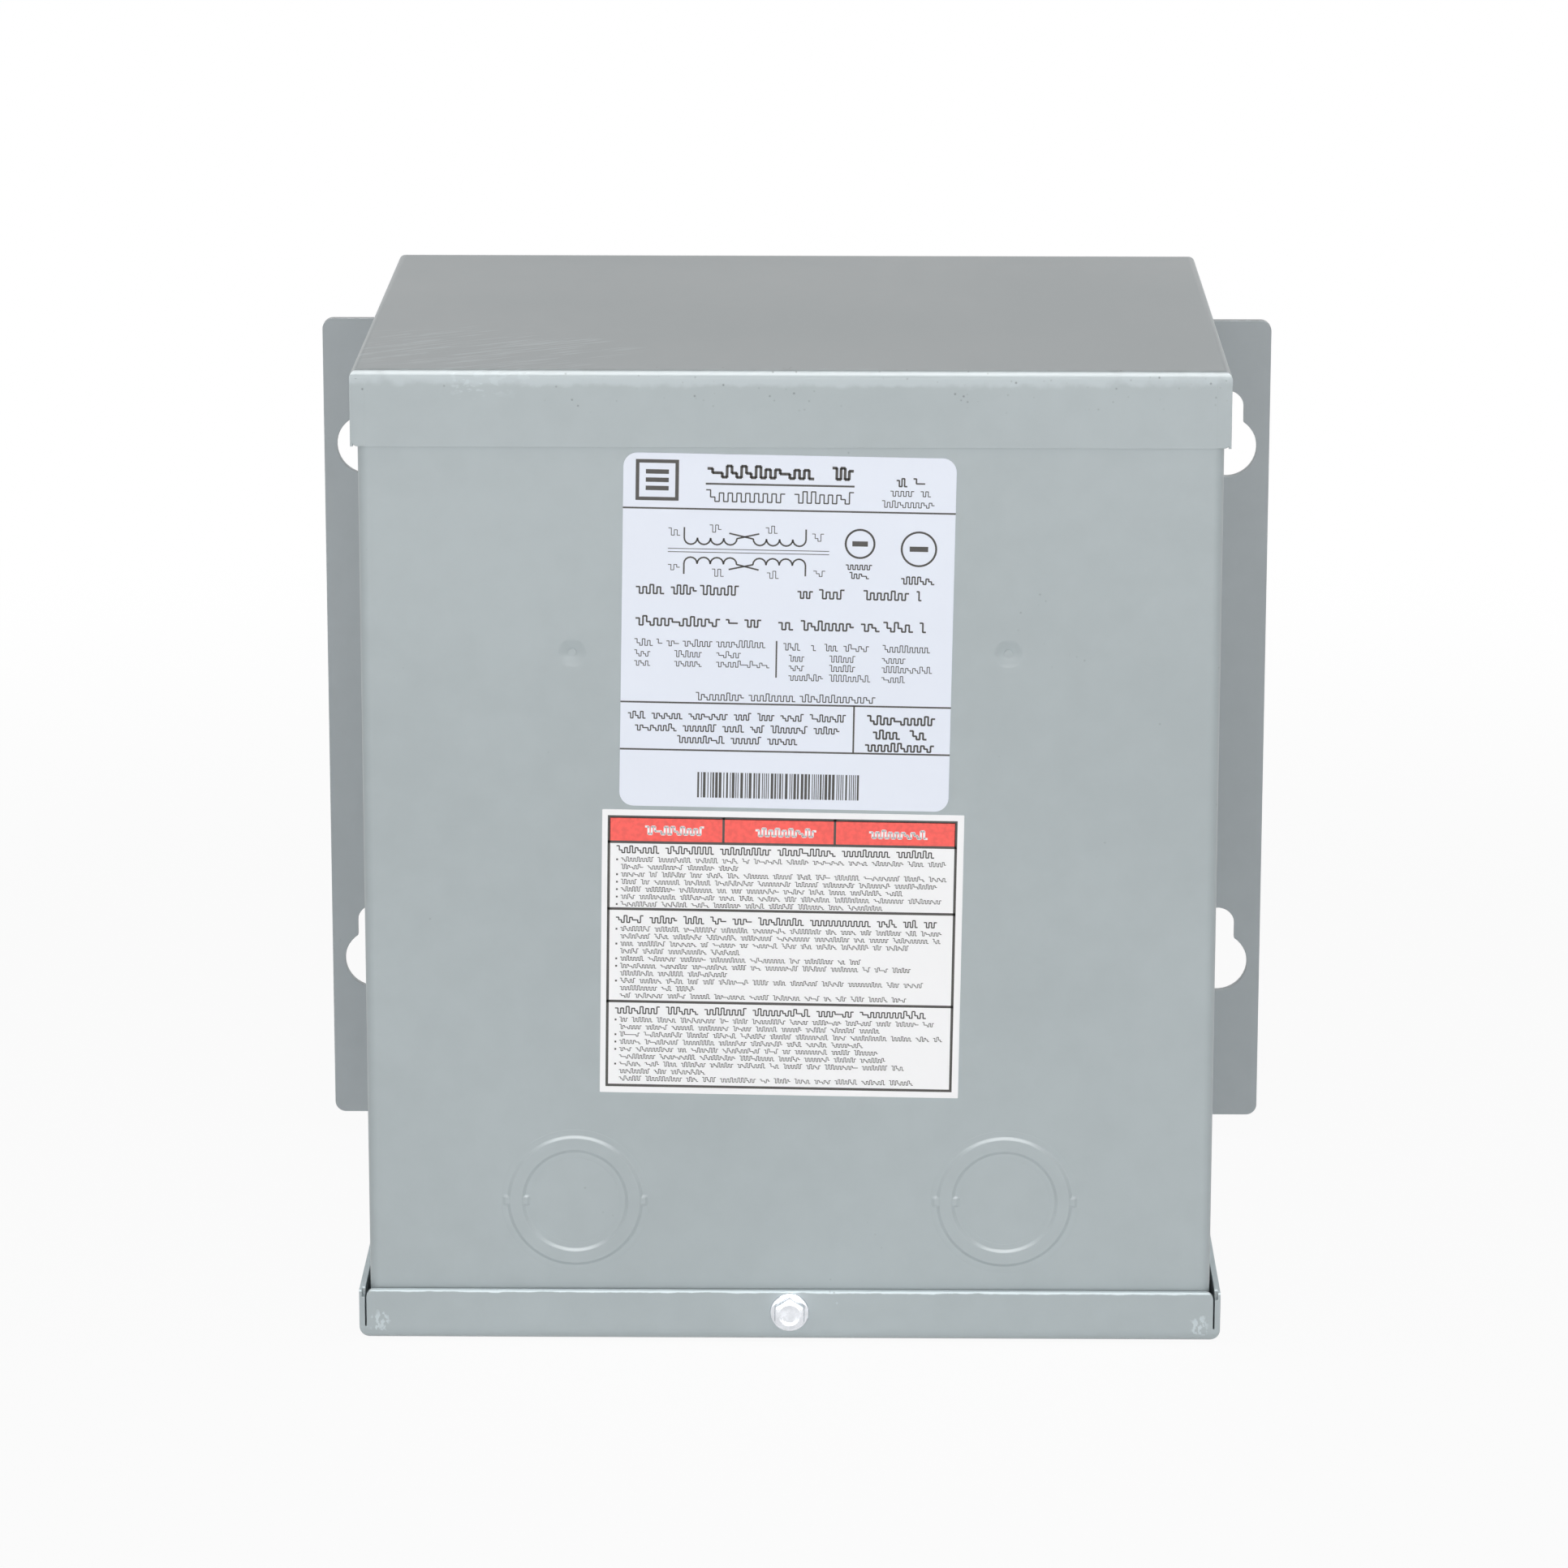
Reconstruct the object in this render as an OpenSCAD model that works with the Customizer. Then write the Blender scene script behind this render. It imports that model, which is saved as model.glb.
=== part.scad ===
// Small wall-mounted dry-type transformer: a potted core and coil in a folded sheet-steel case.
// The front faces -Y, +X is to the right of someone who faces it, and +Z is up.
// The origin is the centre of the overall box in X and Y, at the underside of the bottom cover.

/* [Case] */
// Outside width of the case
case_w = 180.5; // [150:0.5:216]
// Depth of the case, from its front face to the front of the mounting plate
case_d = 149.3; // [120:0.1:180]
// Overall height, from the underside of the bottom cover to the top of the top cover
case_h = 211.5; // [176:0.5:254]
// Sheet thickness of the case
case_t = 1.5; // [1.2:0.1:2]
// Outside radius of the case's bends
case_bend_r = 2.2; // [2.1:0.1:4]
// Width of the flanges that are turned in at the back of the case
weld_flange = 14; // [8:1:30]

/* [Top cover] */
// Sheet thickness of the top cover
lid_t = 1.2; // [0.8:0.1:1.6]
// Height of the top cover, down to the lower edge of its flanges
lid_h = 16.2; // [12:0.1:20]
// Outside radius of the top cover's bends
lid_bend_r = 1.8; // [1.7:0.1:4]
// Clearance between the top cover's flanges and the case
lid_gap = 0.1; // [0.05:0.05:0.4]

/* [Bottom cover] */
// Sheet thickness of the bottom cover
tray_t = 1.2; // [0.8:0.1:1.6]
// Height of the bottom cover, up to the upper edge of its flanges
tray_h = 11.4; // [10.9:0.1:14]
// Outside radius of the bottom cover's bends
tray_bend_r = 3.2; // [1.7:0.1:3.6]
// Clearance between the bottom cover's flanges and the case
tray_gap = 1; // [0.3:0.1:1.5]
// Slit beside the front flange of each cover, at the folded corners
corner_slit = 0.35; // [0.2:0.05:0.6]
// Corner radius at the free ends of the front flanges
flange_corner_r = 1.6; // [0.6:0.1:3]

/* [Mounting plate] */
// Thickness of the mounting plate
plate_t = 1.9; // [1.5:0.1:3]
// How far the mounting plate reaches past the case on each side
wing_w = 19.3; // [18:0.1:30]
// Height of the mounting plate's lower edge above the base
plate_z0 = 5.3; // [2:0.1:9]
// Depth of the strip at the top of the case that the mounting plate leaves free
plate_top_drop = 15.1; // [2:0.1:15.9]
// Corner radius of the mounting plate
plate_corner_r = 2.5; // [1:0.5:6]
// Radius of each keyhole's round entry
key_entry_r = 7; // [6:0.1:8]
// Half the width of each keyhole's slot
key_slot_r = 3.9; // [3:0.1:4.1]
// Rise from the centre of the round entry to the centre of the slot's round end
key_rise = 9.3; // [8:0.1:12]
// Distance of the keyholes' centres from the outer edge of the plate
key_edge = 9.95; // [9.2:0.05:10]
// Height of the lower round entries above the base
key_low_z = 43; // [30:0.5:55]
// Height from the lower to the upper round entries
key_pitch = 123.8; // [90:0.1:126]

/* [Knockouts] */
// Radius of the large knockout, for the larger conduit size
knock_big_r = 14.3; // [13.9:0.1:17]
// Radius of the small knockout in its middle
knock_small_r = 11.1; // [9:0.1:11.1]
// Distance of the knockouts' centres from the middle of the case
knock_x = 45.95; // [30:0.05:54]
// Height of the knockouts' centres above the base
knock_z = 31; // [30:0.5:34]
// How far the ring between the two knockouts stands out of the front
knock_proud = 0.5; // [0.2:0.05:0.8]
// Width of the sheared gap round a knockout
shear_gap = 0.15; // [0.1:0.05:0.3]
// Width of the ties that hold a knockout
tie_w = 2; // [1:0.1:4]

/* [Front dimples] */
// Radius of each pressed dimple
dimple_r = 3.2; // [2:0.1:5]
// Depth of each pressed dimple
dimple_depth = 0.85; // [0.3:0.05:1.1]
// Radius of the nub in the middle of a dimple
nub_r = 0.85; // [0.4:0.05:1.5]
// Distance of the dimples' centres from the middle of the case
dimple_x = 45.75; // [41.5:0.05:60]
// Height of the dimples' centres above the base
dimple_z = 151.2; // [130:0.1:156]

/* [Cover screw] */
// Height of the screw's centre above the base
screw_z = 6.8; // [5.5:0.1:6.9]
// Radius of the washer face of the head
washer_r = 4.2; // [3.5:0.1:4.3]
// Thickness of the washer face
washer_t = 0.8; // [0.5:0.1:1.2]
// Width of the hexagon across its flats
hex_af = 6.35; // [5:0.05:7]
// Height of the hexagon above the washer face
hex_h = 1.9; // [1.5:0.1:3.5]
// Radius of the screw's shank
shank_r = 2.05; // [1.5:0.05:2.5]
// Length of the shank below the head
shank_l = 9.5; // [6:0.5:16]
// Clearance round the shank where it passes through the bottom cover
shank_gap = 0.3; // [0.1:0.05:0.6]

/* [Labels] */
// Thickness of the labels
label_t = 0.2; // [0.1:0.05:0.3]
// Width of the nameplate
nameplate_w = 69.4; // [50:0.1:80]
// Height of the nameplate
nameplate_h = 75.8; // [50:0.1:76]
// Corner radius of the nameplate
nameplate_r = 3; // [1:0.5:6]
// Width of the wiring label
wiring_w = 76.4; // [60:0.1:100]
// Height of the wiring label
wiring_h = 62.2; // [40:0.1:63]
// Gap between the nameplate and the wiring label below it
label_space = 0.8; // [0.5:0.1:6]
// Drop from the top cover's flange to the middle of the nameplate
nameplate_drop = 39.7; // [39:0.1:44]
// How far the nameplate is set to the left of the middle
nameplate_shift = 0.7; // [-5:0.1:5]
// How far the wiring label is set to the left of the middle
wiring_shift = 1.9; // [-5:0.1:5]
// Tilt of the nameplate, clockwise from the front
nameplate_tilt = 1; // [-2:0.1:2]
// Tilt of the wiring label, clockwise from the front
wiring_tilt = 0.85; // [-2:0.05:2]

/* [Potted core] */
// Height of the open wiring space under the potted core
wiring_space = 56; // [48:1:70]
// Space left above the potted core
core_headroom = 5; // [2:1:20]

/* [Hidden] */

$fn = 64;
// Overshoot of a cutting shape past the face that it cuts
cut = 1;

paint = "#a9b1b4";
zinc = "#c9ccd0";
card = "#e6eaf2";
resin = "#3b3d40";

// Depths, measured from the front face of the case
tray_front = -(tray_gap + tray_t);
lid_front = -(lid_gap + lid_t);
head_front = tray_front - washer_t - hex_h;
plate_back = case_d + plate_t;
// Place of the case's front face, so that the overall box is centred on the origin
face_y = -(head_front + plate_back) / 2;

// How far the case stays off a cover's flat, so that its edge clears the inside of the bend
function edge_lift(r, gap) = gap < r ? r - sqrt(r * r - (r - gap) * (r - gap)) : 0;
case_z0 = tray_t + edge_lift(tray_bend_r - tray_t, tray_gap);
case_z1 = case_h - lid_t - edge_lift(lid_bend_r - lid_t, lid_gap);

lid_w = case_w + 2 * (lid_gap + lid_t);
tray_w = case_w + 2 * (tray_gap + tray_t);
lid_flange_z = case_h - lid_h;
plate_w = case_w + 2 * wing_w;
plate_h = case_h - plate_top_drop - plate_z0;
key_x = plate_w / 2 - key_edge;
label_half_drop = nameplate_h / 2 + label_space + wiring_h / 2;
// A dimple is the cap of this sphere
dimple_sphere_r = (dimple_r * dimple_r + dimple_depth * dimple_depth) / (2 * dimple_depth);

// Moves a shape that is drawn from the front face of the case into the part's frame
module from_face() translate([0, face_y, 0]) children();

// Turns a plan outline drawn in X and Z into a sheet from y0 that is t thick
module front_sheet(y0, t) translate([0, y0 + t, 0]) rotate([90, 0, 0]) linear_extrude(t) children();

// Cylinder of radius r along Y, from y0 to y1
module bar_y(r, y0, y1) translate([0, y1, 0]) rotate([90, 0, 0]) cylinder(r = r, h = y1 - y0);

// Rectangle with four round corners, centred in X, that starts at y = 0
module rounded_rectangle(w, h, r) {
    translate([-w / 2 + r, 0]) square([w - 2 * r, h]);
    translate([-w / 2, r]) square([w, h - 2 * r]);
    for (x = [-w / 2 + r, w / 2 - r], y = [r, h - r]) translate([x, y]) circle(r = r);
}

// Rectangle centred in X whose two lower corners are round
module round_footed(w, h, r) {
    translate([-w / 2 + r, 0]) square([w - 2 * r, h]);
    translate([-w / 2, r]) square([w, h - r]);
    for (x = [-w / 2 + r, w / 2 - r]) translate([x, r]) circle(r = r);
}

// Block with four round lower edges, centred in X, from y = 0 to y = d and from z = 0 to z = h
module round_bottomed_block(w, d, h, r) {
    intersection() {
        translate([0, d, 0]) rotate([90, 0, 0]) linear_extrude(d) round_footed(w, h, r);
        translate([-w / 2, d / 2, 0]) rotate([90, 0, 90]) linear_extrude(w) round_footed(d, h, r);
    }
}

// What is cut away to round one lower corner of a flange, at x = 0 and z = 0
module corner_nick(r) {
    difference() {
        translate([-cut, -cut]) square(r + cut);
        translate([r, r]) circle(r = r);
    }
}

// Shallow pan with its flat side down: four folded flanges, slit at the two front corners
module folded_pan(w, d, h, t, r) {
    flange_end = w / 2 - t - corner_slit;
    difference() {
        round_bottomed_block(w, d, h, r);
        translate([0, t, t]) round_bottomed_block(w - 2 * t, d - 2 * t, h, r - t);
        for (s = [-1, 1]) mirror([s < 0 ? 1 : 0, 0, 0]) {
            translate([flange_end, -cut, r]) cube([corner_slit, cut + t, h]);
            translate([flange_end, t + cut, h]) rotate([90, 0, 0]) linear_extrude(t + 2 * cut)
                mirror([1, 0]) mirror([0, 1]) corner_nick(flange_corner_r);
        }
    }
}

// Keyhole outline about the centre of its round entry
module keyhole() {
    circle(r = key_entry_r);
    translate([-key_slot_r, 0]) square([2 * key_slot_r, key_rise]);
    translate([0, key_rise]) circle(r = key_slot_r);
}

// Front and sides in one folded sheet, with narrow flanges turned in at the back
module case_wrap() {
    back_gap = case_w - 2 * weld_flange;
    color(paint) from_face() difference() {
        union() {
            difference() {
                translate([0, 0, case_z0]) linear_extrude(case_z1 - case_z0) difference() {
                    rounded_rectangle(case_w, case_d, case_bend_r);
                    translate([0, case_t]) rounded_rectangle(case_w - 2 * case_t,
                        case_d - 2 * case_t, case_bend_r - case_t);
                    translate([-back_gap / 2, case_d / 2]) square([back_gap, case_d]);
                }
                for (s = [-1, 1]) translate([s * dimple_x, dimple_depth - dimple_sphere_r, dimple_z])
                    sphere(r = dimple_sphere_r);
            }
            for (s = [-1, 1]) translate([s * dimple_x, 0, dimple_z])
                bar_y(nub_r, dimple_depth / 2, case_t);
        }
        // Room for the back flanges of the two covers
        translate([-case_w, case_d - lid_t - lid_gap, lid_flange_z - lid_gap])
            cube([2 * case_w, case_d, case_h]);
        translate([-case_w, case_d - tray_t - tray_gap, 0])
            cube([2 * case_w, case_d, tray_h + tray_gap]);
        for (s = [-1, 1]) translate([s * knock_x, 0, knock_z]) bar_y(knock_big_r, -cut, case_t + cut);
        translate([0, 0, screw_z]) bar_y(shank_r, -cut, case_t + cut);
    }
}

// Flat plate behind the case that hangs on four bolts
module mounting_plate() {
    color(paint) from_face() front_sheet(case_d, plate_t) difference() {
        translate([0, plate_z0]) rounded_rectangle(plate_w, plate_h, plate_corner_r);
        for (x = [-key_x, key_x], z = [key_low_z, key_low_z + key_pitch])
            translate([x, z]) keyhole();
    }
}

// Folded cover that closes the top of the case
module top_cover() {
    color(paint) from_face() translate([0, lid_front, case_h]) mirror([0, 0, 1])
        folded_pan(lid_w, case_d - lid_front, lid_h, lid_t, lid_bend_r);
}

// Folded cover under the wiring space, which stands on the floor and is held by one screw
module bottom_cover() {
    color(paint) from_face() difference() {
        translate([0, tray_front, 0])
            folded_pan(tray_w, case_d - tray_front, tray_h, tray_t, tray_bend_r);
        translate([0, 0, screw_z]) bar_y(shank_r + shank_gap, tray_front - cut, tray_front + tray_t + cut);
    }
}

// Hexagon screw with a washer face
module cover_screw() {
    color(zinc) from_face() translate([0, 0, screw_z]) {
        bar_y(washer_r, tray_front - washer_t, tray_front);
        translate([0, tray_front - washer_t, 0]) rotate([90, 30, 0])
            cylinder(r = hex_af / sqrt(3), h = hex_h, $fn = 6);
        bar_y(shank_r, tray_front, tray_front + shank_l);
    }
}

// Tie across the sheared gap at radius r, which ends on the wall that it holds on to
module tie(r, y0, y1, side) {
    intersection() {
        bar_y(r + shear_gap, y0, y1);
        translate([side > 0 ? r - shear_gap : -r - 2 * shear_gap, y0, -tie_w / 2])
            cube([3 * shear_gap, y1 - y0, tie_w]);
    }
}

// Ring between the small and the large knockout, which stands a little proud of the front
module knockout_ring(side) {
    ring_r = knock_big_r - shear_gap;
    ring_back = case_t - knock_proud;
    color(paint) from_face() translate([side * knock_x, 0, knock_z]) difference() {
        union() {
            bar_y(ring_r, -knock_proud, ring_back);
            for (s = [-1, 1]) tie(ring_r, 0, ring_back, s);
        }
        bar_y(knock_small_r, -knock_proud - cut, case_t + cut);
    }
}

// Disc that closes the small knockout, level with the front
module knockout_disc(side) {
    disc_r = knock_small_r - shear_gap;
    color(paint) from_face() translate([side * knock_x, 0, knock_z]) {
        bar_y(disc_r, 0, case_t);
        tie(disc_r, 0, case_t - knock_proud, -1);
    }
}

// Blank plate with round corners under the flange of the top cover
module nameplate() {
    color(card) from_face()
        translate([-nameplate_shift, 0, lid_flange_z - nameplate_drop]) rotate([0, nameplate_tilt, 0])
            translate([0, 0, -nameplate_h / 2]) front_sheet(-label_t, label_t)
                rounded_rectangle(nameplate_w, nameplate_h, nameplate_r);
}

// Square-cornered label below the nameplate
module wiring_label() {
    color(card) from_face()
        translate([-wiring_shift, 0, lid_flange_z - nameplate_drop - label_half_drop])
            rotate([0, wiring_tilt, 0])
                translate([-wiring_w / 2, -label_t, -wiring_h / 2]) cube([wiring_w, label_t, wiring_h]);
}

// Core and coil cast in one block that fills the case above the wiring space
module potted_core() {
    core_z = case_z0 + wiring_space;
    color(resin) from_face() translate([0, case_t, core_z])
        linear_extrude(case_h - lid_h - core_headroom - core_z)
            rounded_rectangle(case_w - 2 * case_t, case_d - 2 * case_t, case_bend_r - case_t);
}

case_wrap();
mounting_plate();
top_cover();
bottom_cover();
cover_screw();
knockout_ring(-1);  // knockout_ring_left
knockout_ring(1);  // knockout_ring_right
knockout_disc(-1);  // knockout_disc_left
knockout_disc(1);  // knockout_disc_right
nameplate();
wiring_label();
potted_core();
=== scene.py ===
"""Looks of a small dry-type transformer: a coated steel enclosure on a wall plate, with two labels.

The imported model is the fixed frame. Each sub-assembly is a class that builds its own pieces over the
frame's solids and dresses them in a finish. Lengths are in metres, and in millimetres for the labels' print.
"""

import logging
import math
import random
from dataclasses import dataclass
from enum import Enum
from functools import partial
from typing import Callable, Sequence

import bmesh
import bpy
from mathutils import Matrix, Vector


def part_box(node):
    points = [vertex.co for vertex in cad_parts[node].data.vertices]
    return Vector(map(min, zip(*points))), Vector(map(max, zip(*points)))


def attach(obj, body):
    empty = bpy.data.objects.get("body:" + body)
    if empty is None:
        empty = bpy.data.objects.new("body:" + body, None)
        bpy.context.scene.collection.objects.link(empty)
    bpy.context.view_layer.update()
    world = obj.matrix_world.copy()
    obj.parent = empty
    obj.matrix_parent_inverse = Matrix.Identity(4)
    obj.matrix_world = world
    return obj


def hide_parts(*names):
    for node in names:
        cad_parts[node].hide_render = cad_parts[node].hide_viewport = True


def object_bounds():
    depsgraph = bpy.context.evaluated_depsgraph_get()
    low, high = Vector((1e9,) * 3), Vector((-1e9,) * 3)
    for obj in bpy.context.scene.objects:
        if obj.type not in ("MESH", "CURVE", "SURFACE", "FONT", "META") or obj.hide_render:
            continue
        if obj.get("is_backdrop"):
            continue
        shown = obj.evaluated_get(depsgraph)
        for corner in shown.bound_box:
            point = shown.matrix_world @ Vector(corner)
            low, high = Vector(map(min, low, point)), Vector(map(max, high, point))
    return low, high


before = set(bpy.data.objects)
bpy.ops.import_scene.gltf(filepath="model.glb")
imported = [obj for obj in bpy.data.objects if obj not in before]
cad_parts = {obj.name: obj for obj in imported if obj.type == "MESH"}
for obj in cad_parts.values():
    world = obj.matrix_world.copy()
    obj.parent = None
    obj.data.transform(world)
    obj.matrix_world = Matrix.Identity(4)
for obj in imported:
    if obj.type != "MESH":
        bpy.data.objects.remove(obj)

log = logging.getLogger("transformer")

MM = 0.001
ORIGIN = (0.0, 0.0, 0.0)
Outline = list[tuple[float, float]]
Triple = tuple[float, float, float]
Socket = bpy.types.NodeSocket
Finish = bpy.types.Material
Piece = bpy.types.Object


class Coat(Enum):
    """The colour that each kind of painted sheet has, as linear red, green and blue."""

    CASE = (0.392, 0.440, 0.455)
    PLATE = (0.400, 0.436, 0.455)


class Ink(Enum):
    """The inks on the two labels, as linear red, green and blue."""

    BLACK = (0.050, 0.046, 0.042)
    FAINT = (0.075, 0.070, 0.066)
    RED = (0.930, 0.105, 0.085)
    BLANK = (0.900, 0.890, 0.890)


# ---------------------------------------------------------------------------------------------
# Shader graphs


class Graph:
    """A thin layer over a node tree that adds and joins nodes in one call."""

    def __init__(self, tree: bpy.types.NodeTree) -> None:
        """Keeps the tree.

        Args:
            tree: The node tree to add nodes to.
        """
        self.tree = tree

    def add(self, kind: str, inputs: dict[str, object] | None = None, **settings: object) -> bpy.types.Node:
        """Adds a node, sets it up and joins its inputs.

        Args:
            kind: The node's type name, without the ShaderNode prefix.
            inputs: Values or output sockets by input name or number.
            settings: Attributes of the node itself.

        Returns:
            The new node.
        """
        node = self.tree.nodes.new("ShaderNode" + kind)
        for key, value in settings.items():
            setattr(node, key, value)
        for key, value in (inputs or {}).items():
            socket = node.inputs[key]
            if isinstance(value, Socket):
                self.tree.links.new(value, socket)
            else:
                socket.default_value = value
        return node

    def math(self, operation: str, *values: object, clamp: bool = False) -> Socket:
        """Adds a Math node.

        Args:
            operation: The operation's name.
            values: Numbers or sockets for its inputs.
            clamp: Whether the result is kept between 0 and 1.

        Returns:
            The node's output.
        """
        node = self.add("Math", dict(enumerate(values)), operation=operation, use_clamp=clamp)
        return node.outputs[0]

    def ramp(self, value: Socket, low: object, high: object) -> Socket:
        """Rescales a value smoothly so that low becomes 0 and high becomes 1.

        Args:
            value: The value to rescale.
            low: The value that becomes 0.
            high: The value that becomes 1.

        Returns:
            The rescaled value.
        """
        inputs = {"Value": value, "From Min": low, "From Max": high}
        node = self.add("MapRange", inputs, interpolation_type="SMOOTHSTEP")
        return node.outputs["Result"]

    def noise(self, vector: Socket, scale: object, detail: float = 3.0) -> Socket:
        """Adds a noise texture.

        Args:
            vector: The point that the noise is read at.
            scale: How many waves there are in a metre.
            detail: How many octaves are added.

        Returns:
            The noise value, about 0.5 on average.
        """
        node = self.add("TexNoise", {"Vector": vector, "Scale": scale, "Detail": detail})
        return node.outputs["Fac"]

    def mix(self, mask: object, below: object, above: object) -> Socket:
        """Mixes two colours.

        Args:
            mask: The share of the upper colour.
            below: The lower colour or its socket.
            above: The upper colour or its socket.

        Returns:
            The mixed colour.
        """
        node = self.add("Mix", {"Factor": mask}, data_type="RGBA")
        for name, value in (("A", below), ("B", above)):
            socket = next(s for s in node.inputs if s.name == name and s.type == "RGBA")
            if isinstance(value, Socket):
                self.tree.links.new(value, socket)
            else:
                socket.default_value = (*value, 1.0)
        return next(s for s in node.outputs if s.type == "RGBA")

    def place(self) -> Socket:
        """Adds the surface point in the piece's own frame, which is the part's frame here."""
        return self.add("TexCoord").outputs["Object"]


class Effect(Graph):
    """A shared effect, which is one shader node group with named inputs and outputs."""

    built: dict[str, bpy.types.NodeTree] = {}

    def __init__(self, name: str, inputs: dict[str, object], outputs: Sequence[str]) -> None:
        """Starts an empty group.

        Args:
            name: The group's name.
            inputs: Default value of each input by name; a tuple makes a vector input.
            outputs: The names of the value outputs.
        """
        super().__init__(bpy.data.node_groups.new(name, "ShaderNodeTree"))
        for key, value in inputs.items():
            kind = "NodeSocketVector" if isinstance(value, tuple) else "NodeSocketFloat"
            socket = self.tree.interface.new_socket(key, in_out="INPUT", socket_type=kind)
            socket.default_value = value
        for key in outputs:
            self.tree.interface.new_socket(key, in_out="OUTPUT", socket_type="NodeSocketFloat")
        self.source = self.tree.nodes.new("NodeGroupInput")
        self.sink = self.tree.nodes.new("NodeGroupOutput")
        Effect.built[name] = self.tree

    def give(self, **values: Socket) -> None:
        """Joins values to the group's outputs by name."""
        for key, value in values.items():
            self.tree.links.new(value, self.sink.inputs[key])

    def take(self, name: str) -> Socket:
        """Finds one of the group's inputs by name."""
        return self.source.outputs[name]


def build_coat_effect() -> None:
    """Sprayed coating: the fine orange peel, the slow waves of thin sheet and a cloudy shade."""
    effect = Effect(
        "sprayed_coat",
        {"Point": ORIGIN, "Peel Scale": 620.0, "Wave Scale": 16.0, "Wave Share": 0.5},
        ("Height", "Cloud"),
    )
    point = effect.take("Point")
    peel = effect.noise(point, effect.take("Peel Scale"), 2.0)
    wave = effect.noise(point, effect.take("Wave Scale"), 1.0)
    weighted = effect.math("MULTIPLY", wave, effect.take("Wave Share"))
    cloud_wide = effect.noise(point, 11.0, 3.0)
    cloud_fine = effect.noise(point, 170.0, 4.0)
    wide_part = effect.math("MULTIPLY", cloud_wide, 0.65)
    fine_part = effect.math("MULTIPLY", cloud_fine, 0.35)
    cloud = effect.math("ADD", wide_part, fine_part)
    effect.give(Height=effect.math("ADD", peel, weighted), Cloud=effect.ramp(cloud, 0.32, 0.68))


def build_patch_effect() -> None:
    """Patch: a soft-edged box around a place, with its rim broken up by noise."""
    effect = Effect(
        "broken_patch",
        {"Point": ORIGIN, "Centre": ORIGIN, "Half Size": (0.01, 0.01, 0.01), "Breakup Scale": 90.0},
        ("Mask",),
    )
    offset = effect.add(
        "VectorMath", {0: effect.take("Point"), 1: effect.take("Centre")}, operation="SUBTRACT"
    ).outputs[0]
    scaled = effect.add("VectorMath", {0: offset, 1: effect.take("Half Size")}, operation="DIVIDE").outputs[0]
    length = effect.add("VectorMath", {0: scaled}, operation="LENGTH").outputs["Value"]
    rim = effect.noise(effect.take("Point"), effect.take("Breakup Scale"), 3.0)
    reach = effect.math("ADD", length, effect.math("MULTIPLY", effect.math("SUBTRACT", rim, 0.5), 1.1))
    effect.give(Mask=effect.ramp(reach, 1.05, 0.55))


def build_streak_effect() -> None:
    """Scuffs: long thin streaks drawn out along one direction, which come and go."""
    effect = Effect(
        "drawn_streaks",
        {"Point": ORIGIN, "Turn": ORIGIN, "Stretch": (0.016, 0.0011, 0.0011), "Cover": 0.53},
        ("Mask",),
    )
    turned = effect.add(
        "Mapping",
        {"Vector": effect.take("Point"), "Rotation": effect.take("Turn"), "Scale": effect.take("Stretch")},
        vector_type="TEXTURE",
    ).outputs[0]
    streak = effect.noise(turned, 1.0, 3.0)
    high = effect.math("ADD", effect.take("Cover"), 0.07)
    effect.give(Mask=effect.ramp(streak, effect.take("Cover"), high))


def build_speck_effect() -> None:
    """Specks: small scattered dots that are kept only where a slow noise allows them."""
    effect = Effect(
        "scattered_specks",
        {"Point": ORIGIN, "Scale": 420.0, "Size": 0.16, "Cover": 0.6},
        ("Mask",),
    )
    cells = effect.add(
        "TexVoronoi", {"Vector": effect.take("Point"), "Scale": effect.take("Scale")}, feature="F1"
    ).outputs["Distance"]
    dots = effect.ramp(cells, effect.take("Size"), 0.0)
    sparse = effect.noise(effect.take("Point"), 75.0, 2.0)
    kept = effect.ramp(sparse, effect.take("Cover"), effect.math("ADD", effect.take("Cover"), 0.05))
    effect.give(Mask=effect.math("MULTIPLY", dots, kept))


def build_edge_effect() -> None:
    """Pale upper edge: the last stretch below a level upper edge, with a ragged lower limit and short gaps.
    """
    effect = Effect("pale_upper_edge", {"Point": ORIGIN, "Level": 0.0, "Reach": 0.4 * MM}, ("Mask",))
    height = effect.add("SeparateXYZ", {0: effect.take("Point")}).outputs["Z"]
    ragged = effect.math("SUBTRACT", effect.noise(effect.take("Point"), 260.0, 4.0), 0.5)
    above = effect.math("SUBTRACT", height, effect.take("Level"))
    share = effect.math("DIVIDE", above, effect.take("Reach"))
    effect.give(Mask=effect.ramp(effect.math("ADD", share, effect.math("MULTIPLY", ragged, 1.5)), -1.1, -0.5))


def build_grain_effect() -> None:
    """Grain: a fine even tooth for card, ink, plated metal and resin."""
    inputs = {"Point": ORIGIN, "Scale": 2600.0, "Patch Scale": 60.0}
    effect = Effect("fine_grain", inputs, ("Height", "Patch"))
    tooth = effect.noise(effect.take("Point"), effect.take("Scale"), 3.0)
    patch = effect.noise(effect.take("Point"), effect.take("Patch Scale"), 4.0)
    effect.give(Height=tooth, Patch=effect.ramp(patch, 0.3, 0.7))


# ---------------------------------------------------------------------------------------------
# Finishes


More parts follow.
